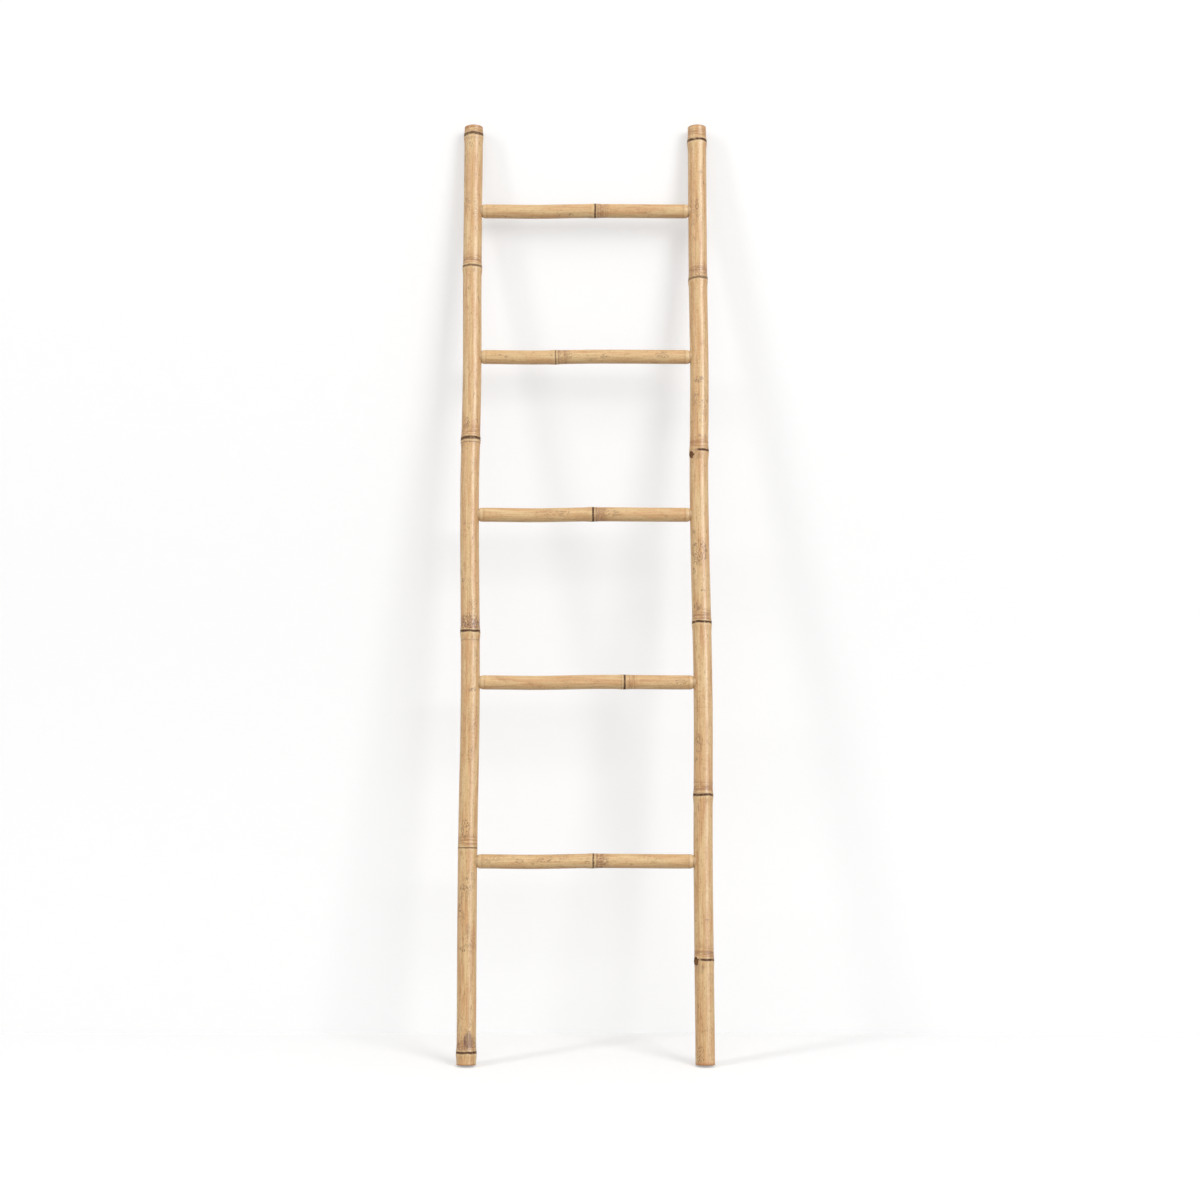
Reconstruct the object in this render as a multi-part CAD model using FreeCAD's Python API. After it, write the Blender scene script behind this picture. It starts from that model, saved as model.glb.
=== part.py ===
import FreeCAD, Part
import math
import os

# A bamboo ladder for towels, leaning back on a wall: two thick culms are the poles and five
# thinner culms are the rungs. Each rung ends in a round tenon, which sits in a mortise in the
# inner side of a pole and is locked by a hardwood peg driven in from the back.
# Millimetres and degrees. +Z is up, +X is to the right and +Y is towards the wall. The origin is
# on the floor, midway between the poles and midway between the ladder's front and the wall.

# Poles
POLE_DIAMETER = 36.0
POLE_WALL = 7.0
POLE_SPACING = 438.4
LEAN_ANGLE = 8.5
END_BEVEL = 1.0

# Rungs: the height of the lowest along the poles, the steps between rungs and the poles' tops
FIRST_RUNG_HEIGHT = 370.0
RUNG_STEPS = (334.5, 321.5, 310.0, 293.0)
POLE_ABOVE_TOP_RUNG = 171.0
RUNG_DIAMETER = 27.0
RUNG_WALL = 5.5

# Tenons and mortises
TENON_DIAMETER = 23.0
TENON_REACH = 26.0
TENON_BEVEL = 1.0
SHOULDER_LENGTH = 5.5
SHOULDER_STANDOFF = 0.3
MORTISE_CLEARANCE = 0.1
MORTISE_SPARE_DEPTH = 1.0

# Pegs
PEG_DIAMETER = 5.0
PEG_CLEARANCE = 0.05
PEG_BITE = 3.0
PEG_STANDOUT = 1.5
PEG_BEVEL = 0.6
PEG_SPARE_DEPTH = 0.3

# Nodes: where each pole's rings are, above its foot, and each rung's ring, right of its middle
LEFT_POLE_NODES = (22.7, 394.7, 801.0, 1173.4, 1514.7, 1782.8)
RIGHT_POLE_NODES = (190.1, 492.8, 818.1, 1150.0, 1490.6, 1770.5)
RUNG_NODES = (14.9, 73.6, 13.4, -58.0, 19.6)
POLE_NODE_SWELL = 1.0
RUNG_NODE_SWELL = 0.7
SWELL_ABOVE_NODE = 13.0
SWELL_BELOW_NODE = 18.0
SCAR_WIDTH = 3.0
SCAR_DEPTH = 0.5
SEPTUM_THICKNESS = 5.0
HOLLOW_ROUNDING = 3.0

# Growth: how far a pole wanders to the right and a rung upwards, as (place along it, offset)
POLE_DRIFT = (
    (0.0, 0.4), (340.0, -0.4), (670.0, 2.2), (1074.0, -2.2),
    (1310.0, 0.4), (1510.0, -0.8), (1800.0, -0.4),
)
RUNG_DRIFT = ((-102.0, -0.9), (28.0, 0.9))
STATION_STEP = 60.0

# Derived sizes
POLE_RADIUS = POLE_DIAMETER / 2
RUNG_RADIUS = RUNG_DIAMETER / 2
TENON_RADIUS = TENON_DIAMETER / 2
PEG_RADIUS = PEG_DIAMETER / 2
PEG_TIP = -TENON_RADIUS - PEG_BITE
PEG_HEAD = POLE_RADIUS + PEG_STANDOUT
RUNG_HEIGHTS = [FIRST_RUNG_HEIGHT + sum(RUNG_STEPS[:count]) for count in range(len(RUNG_STEPS) + 1)]
POLE_LENGTH = RUNG_HEIGHTS[-1] + POLE_ABOVE_TOP_RUNG
POLE_SIDE = POLE_SPACING / 2 - POLE_RADIUS
RUNG_TIP = POLE_SIDE + TENON_REACH
SHOULDER_ROOT = POLE_SIDE - POLE_NODE_SWELL - SHOULDER_STANDOFF
RUNG_BODY_END = SHOULDER_ROOT - SHOULDER_LENGTH

UP = FreeCAD.Vector(0, 0, 1)
BACK = FreeCAD.Vector(0, 1, 0)
FLARE_STEPS = (0.3, 0.5, 0.75, 1.0)
SHOULDER_STEPS = (0.0, 0.05, 0.2, 0.45, 0.7, 1.0)


def smooth_step(share):
    """Return the share eased at both ends, from 0 to 1."""
    return share * share * (3 - 2 * share)


def drift_at(place, points):
    """Return a culm's sideways offset at a place along it, eased from point to point."""
    if place <= points[0][0]:
        return points[0][1]
    for (start, first), (end, last) in zip(points, points[1:]):
        if place <= end:
            return first + (last - first) * smooth_step((place - start) / (end - start))
    return points[-1][1]


def node_gain(rise, swell):
    """Return what a node adds to the radius at a rise above its ring: a swelling with a scar groove."""
    reach = SWELL_ABOVE_NODE if rise > 0 else SWELL_BELOW_NODE
    swelling = swell * smooth_step(max(0.0, 1 - abs(rise) / reach))
    groove = SCAR_DEPTH * max(0.0, 1 - abs(rise) / (SCAR_WIDTH / 2))
    return swelling - groove


def culm_places(start, end, nodes):
    """Return the places between start and end where a culm needs a section, in order."""
    count = max(1, math.ceil((end - start) / STATION_STEP))
    places = {round(start + (end - start) * step / count, 3) for step in range(1, count)}
    for node in nodes:
        rises = [-SCAR_WIDTH / 2, 0.0, SCAR_WIDTH / 2]
        rises += [SWELL_ABOVE_NODE * share for share in FLARE_STEPS]
        rises += [-SWELL_BELOW_NODE * share for share in FLARE_STEPS]
        near = {place for place in places if -SWELL_BELOW_NODE < place - node < SWELL_ABOVE_NODE}
        places = (places - near) | {round(node + rise, 3) for rise in rises}
    return [start] + sorted(place for place in places if start < place < end) + [end]


def loft(sections, drift):
    """Return the solid through circles given as (place along Z, radius), offset by the drift."""
    wires = []
    for place, radius in sections:
        centre = FreeCAD.Vector(drift_at(place, drift), 0, place)
        wires.append(Part.Wire(Part.Circle(centre, UP, radius).toShape()))
    return Part.makeLoft(wires, True, True)


def hollow(start, end, radius, drift, open_start, open_end):
    """Return the inside of a culm from start to end, rounded where a septum closes it."""
    places = culm_places(start, end, ())
    sections = [(place, radius) for place in places]
    if not open_start:
        sections[0] = (start, radius - HOLLOW_ROUNDING)
        sections.insert(1, (start + HOLLOW_ROUNDING, radius))
    if not open_end:
        sections[-1] = (end, radius - HOLLOW_ROUNDING)
        sections.insert(-1, (end - HOLLOW_ROUNDING, radius))
    return loft(sections, drift)


def hollows(bottom, top, nodes, radius, drift):
    """Return the insides of a culm that is open at both ends and closed by a septum at each node."""
    edges = [bottom - END_BEVEL]
    for node in nodes:
        edges += [node - SEPTUM_THICKNESS / 2, node + SEPTUM_THICKNESS / 2]
    edges.append(top + END_BEVEL)
    spans = list(zip(edges[0::2], edges[1::2]))
    return [
        hollow(start, end, radius, drift, index == 0, index == len(spans) - 1)
        for index, (start, end) in enumerate(spans)
    ]


def peg_rod(height, side, radius, front, back):
    """Return a rod on a peg's axis in an upright ladder, from a place in front to one behind."""
    across = side * POLE_SPACING / 2 + drift_at(height, POLE_DRIFT)
    return Part.makeCylinder(radius, back - front, FreeCAD.Vector(across, front, height), BACK)


def peg_hole(height, side):
    """Return the hole for a peg, blind at the front and open through the back of the pole."""
    behind = PEG_HEAD + POLE_NODE_SWELL
    return peg_rod(height, side, PEG_RADIUS + PEG_CLEARANCE, PEG_TIP - PEG_SPARE_DEPTH, behind)


def mortise(height, side):
    """Return the blind hole for a rung's tenon, from the inner side of a pole."""
    mouth = side * SHOULDER_ROOT + drift_at(height, POLE_DRIFT)
    depth = RUNG_TIP + MORTISE_SPARE_DEPTH - SHOULDER_ROOT
    radius = TENON_RADIUS + MORTISE_CLEARANCE
    return Part.makeCylinder(radius, depth, FreeCAD.Vector(mouth, 0, height), FreeCAD.Vector(side, 0, 0))


def make_pole(side, nodes):
    """Return a pole standing upright, with its hollows, mortises and peg holes."""
    held = [node for node in nodes if node < POLE_LENGTH - SEPTUM_THICKNESS]
    places = culm_places(END_BEVEL, POLE_LENGTH - END_BEVEL, held)
    gains = [sum(node_gain(place - node, POLE_NODE_SWELL) for node in held) for place in places]
    sections = [(place, POLE_RADIUS + gain) for place, gain in zip(places, gains)]
    sections.insert(0, (0.0, sections[0][1] - END_BEVEL))
    sections.append((POLE_LENGTH, sections[-1][1] - END_BEVEL))
    pole = loft(sections, POLE_DRIFT)
    pole = pole.cut(hollows(0.0, POLE_LENGTH, held, POLE_RADIUS - POLE_WALL, POLE_DRIFT))
    pole.translate(FreeCAD.Vector(side * POLE_SPACING / 2, 0, 0))
    cutters = []
    for height in RUNG_HEIGHTS:
        cutters += [mortise(height, side), peg_hole(height, side)]
    return pole.cut(cutters)


def rung_end_sections():
    """Return the sections of a rung's right end, from its body out over the shoulder to the tip."""
    growth = RUNG_RADIUS - TENON_RADIUS
    sections = []
    for share in reversed(SHOULDER_STEPS):
        rounding = math.sqrt(1 - (1 - share) ** 2)
        sections.append((SHOULDER_ROOT - SHOULDER_LENGTH * share, TENON_RADIUS + growth * rounding))
    return sections + [(RUNG_TIP - TENON_BEVEL, TENON_RADIUS), (RUNG_TIP, TENON_RADIUS - TENON_BEVEL)]


def make_rung(height, node):
    """Return a rung in an upright ladder, with its tenons, hollows and peg holes."""
    # Turned from Z to X, the culm's sideways offset points down, so a rise is a negative offset
    drift = [(-RUNG_BODY_END, 0.0), *((place, -rise) for place, rise in RUNG_DRIFT), (RUNG_BODY_END, 0.0)]
    places = culm_places(-RUNG_BODY_END, RUNG_BODY_END, (node,))[1:-1]
    right = rung_end_sections()
    left = [(-place, radius) for place, radius in reversed(right)]
    body = [(place, RUNG_RADIUS + node_gain(place - node, RUNG_NODE_SWELL)) for place in places]
    rung = loft(left + body + right, drift)
    rung = rung.cut(hollows(-RUNG_TIP, RUNG_TIP, (node,), RUNG_RADIUS - RUNG_WALL, drift))
    rung.rotate(FreeCAD.Vector(0, 0, 0), BACK, 90)
    rung.translate(FreeCAD.Vector(drift_at(height, POLE_DRIFT), 0, height))
    return rung.cut([peg_hole(height, side) for side in (-1, 1)])


def make_peg(height, side):
    """Return a peg in an upright ladder, bevelled at its tip and at its head behind the pole."""
    peg = peg_rod(height, side, PEG_RADIUS, PEG_TIP, PEG_HEAD)
    rims = [edge for edge in peg.Edges if edge.BoundBox.YLength < PEG_BEVEL]
    return peg.makeChamfer(PEG_BEVEL, rims)


def lean(shape):
    """Return a piece of the upright ladder leant back on the wall, with its feet on the floor."""
    angle = math.radians(LEAN_ANGLE)
    leant = shape.copy()
    leant.rotate(FreeCAD.Vector(0, 0, 0), FreeCAD.Vector(1, 0, 0), -LEAN_ANGLE)
    middle = POLE_LENGTH * math.sin(angle) / 2
    foot = (POLE_RADIUS - END_BEVEL) * math.sin(angle)
    leant.translate(FreeCAD.Vector(0, -middle, foot))
    return leant


def make_pieces():
    """Return every piece of the ladder by name, upright."""
    pieces = {
        "left_pole": make_pole(-1, LEFT_POLE_NODES),
        "right_pole": make_pole(1, RIGHT_POLE_NODES),
    }
    for number, (height, node) in enumerate(zip(RUNG_HEIGHTS, RUNG_NODES), start=1):
        pieces[f"rung_{number}"] = make_rung(height, node)
        pieces[f"left_peg_{number}"] = make_peg(height, -1)
        pieces[f"right_peg_{number}"] = make_peg(height, 1)
    return pieces


os.makedirs("parts", exist_ok=True)
for name, shape in make_pieces().items():
    piece = lean(shape)
    piece.exportStep(f"parts/{name}.step")
    print(f"{name}: {len(piece.Solids)} solid, valid {piece.isValid()}, {piece.Volume:.0f} mm3")
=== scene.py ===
"""Dresses a leaning bamboo towel ladder: culm poles, cane rungs, hardwood pegs and a white studio."""

import logging
import math
from dataclasses import dataclass, field
from enum import Enum
from functools import partial

import bpy
from bpy.types import ID, Material, Node, NodeOutputs, NodeSocket, NodeTree, Object
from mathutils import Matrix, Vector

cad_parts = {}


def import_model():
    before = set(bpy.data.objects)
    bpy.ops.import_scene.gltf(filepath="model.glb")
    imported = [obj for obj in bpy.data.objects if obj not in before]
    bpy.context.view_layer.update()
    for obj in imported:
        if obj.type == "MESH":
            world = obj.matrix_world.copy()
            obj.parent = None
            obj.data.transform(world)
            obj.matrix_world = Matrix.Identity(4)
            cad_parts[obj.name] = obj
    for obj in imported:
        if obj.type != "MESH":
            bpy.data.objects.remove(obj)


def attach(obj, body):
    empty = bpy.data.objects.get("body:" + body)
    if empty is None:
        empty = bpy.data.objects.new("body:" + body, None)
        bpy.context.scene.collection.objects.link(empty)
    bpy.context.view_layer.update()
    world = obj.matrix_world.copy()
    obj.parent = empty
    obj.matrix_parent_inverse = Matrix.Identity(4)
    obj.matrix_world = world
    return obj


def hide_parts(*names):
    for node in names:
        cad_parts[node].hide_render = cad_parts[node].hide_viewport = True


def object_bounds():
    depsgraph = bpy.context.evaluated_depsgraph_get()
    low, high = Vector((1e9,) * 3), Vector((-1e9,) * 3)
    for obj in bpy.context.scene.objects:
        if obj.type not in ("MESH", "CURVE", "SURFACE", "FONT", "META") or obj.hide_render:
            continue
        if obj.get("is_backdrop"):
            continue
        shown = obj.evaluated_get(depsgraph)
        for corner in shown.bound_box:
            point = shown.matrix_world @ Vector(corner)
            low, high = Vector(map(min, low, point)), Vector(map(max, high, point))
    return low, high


LOG = logging.getLogger("towel_ladder")
NODE_STARTS = ("ShaderNode", "GeometryNode", "FunctionNode", "")  # how the names of node types begin
Point = tuple[float, float, float]
ORIGIN: Point = (0.0, 0.0, 0.0)
QUARTER_TURN = math.pi / 2
MM = 0.001

# Sizes shared by the ladder's pieces, in millimetres and degrees
POLE_RADIUS = 18.0
POLE_WALL = 7.0
POLE_LENGTH = 1800.0
POLE_SPACING = 438.4
POLE_SIDE = POLE_SPACING / 2 - POLE_RADIUS
POLE_DRIFT = (
    (0.0, 0.4), (340.0, -0.4), (670.0, 2.2), (1074.0, -2.2), (1310.0, 0.4), (1510.0, -0.8), (1800.0, -0.4),
)
LEAN_ANGLE = 8.5
END_BEVEL = 1.0
RUNG_RADIUS = 13.5
RUNG_HEIGHTS = (370.0, 704.5, 1026.0, 1336.0, 1629.0)
TENON_RADIUS = 11.5
TENON_REACH = 26.0
BUD_STRETCH = 1.15  # how much longer than wide a bud scar is

# Within reach of a ring a culm is marked in full, and drawn in close steps, each up to a distance from it
RING_REACH = 26.0
RING_STEPS = ((4.5, 0.5), (12.0, 1.0), (RING_REACH, 2.0))
OPEN_STEP = 7.0
BUD_REACH = 40.0
FAR = 99.0

# What an outline's points tell the skin, by name and kind
STATION_DATA = {
    "ring": "FLOAT_VECTOR", "line": "FLOAT_VECTOR", "sway": "FLOAT_VECTOR", "bud": "FLOAT_VECTOR",
    "bud_size": "FLOAT", "shoulder": "FLOAT", "cut": "FLOAT",
}
PATTERN_STEP = 3.7  # metres along the grain between the patterns of one culm and the next
WOOD_IOR = 1.5  # bamboo, its wax and hardwood alike


class Side(Enum):
    """The two poles, as the way that each lies from the ladder's middle."""

    LEFT = -1
    RIGHT = 1


class Cut(Enum):
    """What is bored into a pole."""

    MORTISE = 1
    PEG_HOLE = 2

    @property
    def label(self) -> str:
        """The hole's name in plain words."""
        return self.name.replace("_", " ").title()


class Wear(Enum):
    """How far a rung's end is cut down, as its skin reads it."""

    SHOULDER = 1.0
    NECK = 1.5
    TENON = 2.0


class Trace(Enum):
    """What a mark on the skin looks like."""

    SMUDGE = "soft brown smudge"
    SCRIBBLE = "patch of fine curled lines"
    SCAR = "darker stretch of a ring's scar"


def linear(code: str) -> tuple[float, float, float, float]:
    """Turn an sRGB hex colour into linear light.

    Args:
        code: six hex digits after a hash.

    Returns:
        The colour as linear red, green, blue and an alpha of 1.
    """
    parts = [int(code[place:place + 2], 16) / 255 for place in (1, 3, 5)]
    red, green, blue = (p / 12.92 if p <= 0.04045 else ((p + 0.055) / 1.055) ** 2.4 for p in parts)
    return red, green, blue, 1.0


def ease(share: float) -> float:
    """Ease a share at both ends, held between 0 and 1."""
    share = min(1.0, max(0.0, share))
    return share * share * (3 - 2 * share)


def drift_at(place: float, points: tuple[tuple[float, float], ...]) -> float:
    """Read how far a culm has wandered sideways.

    Args:
        place: distance along the culm, in millimetres.
        points: places and offsets that the culm is eased through.

    Returns:
        The offset in millimetres.
    """
    if place <= points[0][0]:
        return points[0][1]
    for (start, first), (end, last) in zip(points, points[1:]):
        if place <= end:
            return first + (last - first) * ease((place - start) / (end - start))
    return points[-1][1]


def enter(name: str, data: ID) -> Object:
    """Put a new object into the scene.

    Args:
        name: the object's name.
        data: its mesh, light or camera.

    Returns:
        The object, at the origin.
    """
    made = bpy.data.objects.new(name, data)
    bpy.context.scene.collection.objects.link(made)
    return made


def feed(tree: NodeTree, node: Node, inputs: dict[str | int, object]) -> None:
    """Set or link a node's inputs.

    Args:
        tree: the tree that the node is in.
        node: the node.
        inputs: by input name or number, a value, a socket or a node whose first output is linked.
    """
    for key, value in inputs.items():
        if isinstance(value, Node):
            value = value.outputs[0]
        if isinstance(value, NodeSocket):
            tree.links.new(value, node.inputs[key])
        else:
            node.inputs[key].default_value = value


def add(tree: NodeTree, kind: str, *given: object, **settings: object) -> Node:
    """Add a node with its settings, and set or link its inputs.

    Args:
        tree: the tree that takes the node.
        kind: the node's type name, which may leave out the word that such names begin with.
        given: what goes into the first inputs in order, then any dicts of others by name or number.
        settings: the node's own settings by name.

    Returns:
        The new node.
    """
    node = tree.nodes.new(next(start + kind for start in NODE_STARTS if hasattr(bpy.types, start + kind)))
    for name, value in settings.items():
        setattr(node, name, value)
    for number, value in enumerate(given):
        feed(tree, node, value if isinstance(value, dict) else {number: value})
    return node


def start_finish(name: str) -> tuple[Material, NodeTree, Node]:
    """Start a finish whose patterns follow the grain of the piece.

    Args:
        name: the material's name.

    Returns:
        The material, its tree, and the node that gives the place in the piece, in millimetres with Z along.
    """
    made = bpy.data.materials.new(name)
    made.use_nodes = True
    tree = made.node_tree
    culm = add(tree, "Attribute", attribute_name="culm")
    spot = add(tree, "VectorMath", culm.outputs["Vector"], {"Scale": 1 / MM}, operation="SCALE")
    return made, tree, spot


def lay_coats(tree: NodeTree, base: object, *coats: tuple[object, object]) -> NodeSocket:
    """Lay colours one over another.

    Args:
        tree: the finish's tree.
        base: the lowest colour, as a hex value or a socket.
        coats: for each coat, what shows how strong it is and its colour.

    Returns:
        The socket that gives the colour.
    """
    colour = linear(base) if isinstance(base, str) else base
    for mask, coat in coats:
        coat = linear(coat) if isinstance(coat, str) else coat
        colour = add(tree, "Mix", mask, {6: colour, 7: coat}, data_type="RGBA").outputs[2]
    return colour


def seen_rays(tree: NodeTree) -> Node:
    """Tell the rays that show a background from those that only light the ladder.

    Args:
        tree: the tree that asks.

    Returns:
        The node that gives 1 for a ray from the camera, or one mirrored or let through on its way, else 0.
    """
    ray = add(tree, "LightPath").outputs
    seen = add(tree, "Math", ray["Is Camera Ray"], ray["Is Glossy Ray"], operation="MAXIMUM")
    return add(tree, "Math", seen, ray["Is Transmission Ray"], operation="MAXIMUM")


@dataclass(frozen=True)
class Ring:
    """A node ring of a culm: its scar, its swelling and the marks around it, in millimetres and degrees."""

    place: float
    width: float = 3.6
    dark: float = 1.0
    swell: float = 1.0
    tilt: float = 0.0
    second: float = 0.0  # how far above the scar a second line runs
    second_dark: float = 0.0
    stain: float = 0.0
    bud: float = 0.0
    bud_turn: float = 0.0
    bud_rise: float = -4.0


@dataclass(frozen=True)
class Mark:
    """A brown mark on a culm's skin, by place, turn, length and width, in millimetres and degrees."""

    place: float
    turn: float
    length: float
    width: float
    dark: float = 1.0
    trace: Trace = Trace.SMUDGE

    @property
    def fade(self) -> float:
        """How much of the way to its middle the mark takes to come up."""
        return 0.25 if self.trace is Trace.SCRIBBLE else 0.5


def marks_of(trace: Trace, *rows: tuple[float, ...]) -> tuple[Mark, ...]:
    """List marks of one kind.

    Args:
        trace: what they look like.
        rows: for each mark its place, turn, length, width and, where it isn't full, how dark it is.

    Returns:
        The marks.
    """
    return tuple(Mark(*row, trace=trace) for row in rows)


@dataclass
class Station:
    """One point of a culm's outline, with what the skin has to know there."""

    radius: float
    place: float
    ring: Point = (FAR, 0.0, 0.0)
    line: Point = ORIGIN
    sway: Point = ORIGIN
    bud: Point = ORIGIN
    bud_size: float = 0.0
    shoulder: float = 0.0
    cut: float = 0.0


class Workshop:
    """The Geometry Nodes trees that turn culms and pegs, and the step that bakes their meshes."""

    LATHE_INPUTS = {
        "Outline": "Geometry", "Sides": "Int", "Ovality": "Float", "Unevenness": "Float", "Seed": "Float",
    }
    WAVE_RATE = 9.0  # how fast a stem's roundness changes along it, per metre
    WAVE_SCALE = 0.8
    # A bud scar's lip and dent: how far inside its edge each is full, and its height, in millimetres
    LIP_REACH, LIP_RISE = 2.4, 1.5
    DENT_REACH, DENT_RISE = 6.0, -2.6
    MERGE_REACH = 0.01
    BORE_SIDES = 64
    # Folds sharper than this stay crisp, in degrees
    CULM_FOLD, PEG_FOLD = 40.0, 50.0

    def __init__(self) -> None:
        """Build each tree once."""
        self.lathe = self._lathe_tree()
        self.culm = self._culm_tree()
        self.peg = self._peg_tree()

    @staticmethod
    def _new_tree(name: str, inputs: dict[str, str]) -> tuple[NodeTree, NodeOutputs]:
        """Start a tree with named inputs and one geometry output.

        Args:
            name: the tree's name.
            inputs: socket kinds by input name.

        Returns:
            The tree and the sockets that give its inputs.
        """
        tree = bpy.data.node_groups.new(name, "GeometryNodeTree")
        for label, kind in inputs.items():
            tree.interface.new_socket(label, in_out="INPUT", socket_type=f"NodeSocket{kind}")
        tree.interface.new_socket("Mesh", in_out="OUTPUT", socket_type="NodeSocketGeometry")
        return tree, add(tree, "NodeGroupInput").outputs

    @staticmethod
    def _split(tree: NodeTree, outline: NodeSocket) -> tuple[Node, Node]:
        """Part an outline's own points from the hole centres that come with it.

        Args:
            tree: the tree.
            outline: the points.

        Returns:
            The node that tells what a hole is for, and the node that parts the points.
        """
        hole = add(tree, "InputNamedAttribute", "hole", data_type="FLOAT")
        is_hole = add(tree, "Math", hole, 0.5, operation="GREATER_THAN")
        return hole, add(tree, "SeparateGeometry", outline, is_hole, domain="POINT")

    @staticmethod
    def _shade(tree: NodeTree, body: Node, fold_angle: float) -> Node:
        """Shade a body smooth, with crisp folds.

        Args:
            tree: the tree.
            body: the node that gives the body.
            fold_angle: the angle past which a fold stays crisp, in degrees.

        Returns:
            The node that gives the shaded body.
        """
        fold = add(tree, "InputMeshEdgeAngle")
        crisp = add(tree, "Math", fold, math.radians(fold_angle), operation="GREATER_THAN")
        body = add(tree, "SetShadeSmooth", body, domain="FACE")
        return add(tree, "SetShadeSmooth", body, {"Selection": crisp, "Shade Smooth": False}, domain="EDGE")

    def _lathe_tree(self) -> NodeTree:
        """Turn an outline, given as points of radius and place, into a closed culm.

        Returns:
            The tree.
        """
        tree, given = self._new_tree("culm lathe", self.LATHE_INPUTS)
        put = partial(add, tree)
        outline, sides = given["Outline"], given["Sides"]
        count = put("AttributeDomainSize", outline)
        columns = put("IntegerMath", sides, 1, operation="ADD")
        mesh = put("MeshGrid", {"Vertices X": columns, "Vertices Y": count})
        index = put("InputIndex")
        row = put("IntegerMath", index, count, operation="MODULO")
        column = put("IntegerMath", index, count, operation="DIVIDE_FLOOR")
        share = put("Math", column, sides, operation="DIVIDE")
        angle = put("Math", share, math.tau, operation="MULTIPLY")
        cosine = put("Math", angle, operation="COSINE")
        sine = put("Math", angle, operation="SINE")
        spoke = put("CombineXYZ", cosine, sine)
        read: dict[str, Node] = {}
        for name, kind in STATION_DATA.items():
            named = put("InputNamedAttribute", name, data_type=kind)
            read[name] = put("SampleIndex", outline, {"Value": named, "Index": row}, data_type=kind)
        where = put("InputPosition")
        point = put("SampleIndex", outline, {"Value": where, "Index": row}, data_type="FLOAT_VECTOR")
        point = put("SeparateXYZ", point)
        radius, place = point.outputs["X"], point.outputs["Z"]
        # A stem is never quite round, and its roundness changes slowly along it
        double = put("Math", angle, 2.0, given["Seed"], operation="MULTIPLY_ADD")
        oval = put("Math", double, operation="COSINE")
        oval = put("Math", oval, given["Ovality"], 1.0, operation="MULTIPLY_ADD")
        along = put("Math", place, self.WAVE_RATE, operation="MULTIPLY")
        spot = put("CombineXYZ", cosine, sine, along)
        waves = put("TexNoise", {"Vector": spot, "W": given["Seed"], "Scale": self.WAVE_SCALE, "Detail": 2.0},
                    noise_dimensions="4D")
        waves = put("Math", waves, 0.5, operation="SUBTRACT")
        shape = put("Math", waves, given["Unevenness"], oval, operation="MULTIPLY_ADD")
        grown = put("Math", radius, shape, operation="MULTIPLY")
        # A bud scar is a low lip round a dent: how far a point lies inside its edge, in millimetres
        in_mm = put("Math", radius, 1 / MM, operation="MULTIPLY")
        skin = put("VectorMath", spoke, {"Scale": in_mm}, operation="SCALE")
        rise = put("SeparateXYZ", read["ring"])
        squat = put("Math", rise.outputs["X"], BUD_STRETCH, operation="DIVIDE")
        height = put("CombineXYZ", {2: squat})
        skin = put("VectorMath", skin, height, operation="ADD")
        away = put("VectorMath", skin, read["bud"], operation="DISTANCE")
        inside = put("Math", read["bud_size"], away.outputs["Value"], operation="SUBTRACT")
        inside = put("Math", inside, 0.0, operation="MAXIMUM")
        for start, full, lift in ((0.0, self.LIP_REACH, self.LIP_RISE),
                                  (self.LIP_REACH, self.DENT_REACH, self.DENT_RISE)):
            gain = put("MapRange", inside, start, full, 0.0, lift * MM, interpolation_type="SMOOTHSTEP")
            grown = put("Math", grown, gain, operation="ADD")
        # The ring's plane tips by the sway, and the whole section wanders by the drift
        tip = put("VectorMath", read["sway"], spoke, operation="DOT_PRODUCT")
        level = put("Math", place, tip.outputs["Value"], operation="ADD")
        wander = put("SeparateXYZ", read["sway"])
        centre = put("CombineXYZ", wander.outputs["Z"], {2: level})
        spread = put("VectorMath", spoke, {"Scale": grown}, operation="SCALE")
        position = put("VectorMath", spread, centre, operation="ADD")
        kept = {"ring": read["ring"], "line": read["line"], "bud": inside, "shoulder": read["shoulder"],
                "cut": read["cut"]}
        for name, value in kept.items():
            kind = "FLOAT_VECTOR" if name in ("ring", "line") else "FLOAT"
            mesh = put("StoreNamedAttribute", mesh, {"Name": name, "Value": value}, data_type=kind)
        turned = put("SetPosition", mesh, {"Position": position})
        closed = put("MergeByDistance", turned, {"Distance": self.MERGE_REACH * MM})
        # A face is raw where all its corners are cut
        raw = put("InputNamedAttribute", "cut", data_type="FLOAT")
        raw = put("Math", raw, 0.9, operation="GREATER_THAN")
        faced = put("StoreNamedAttribute", closed, {"Name": "raw", "Value": raw}, data_type="FLOAT",
                    domain="FACE")
        put("NodeGroupOutput", faced)
        return tree

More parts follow.
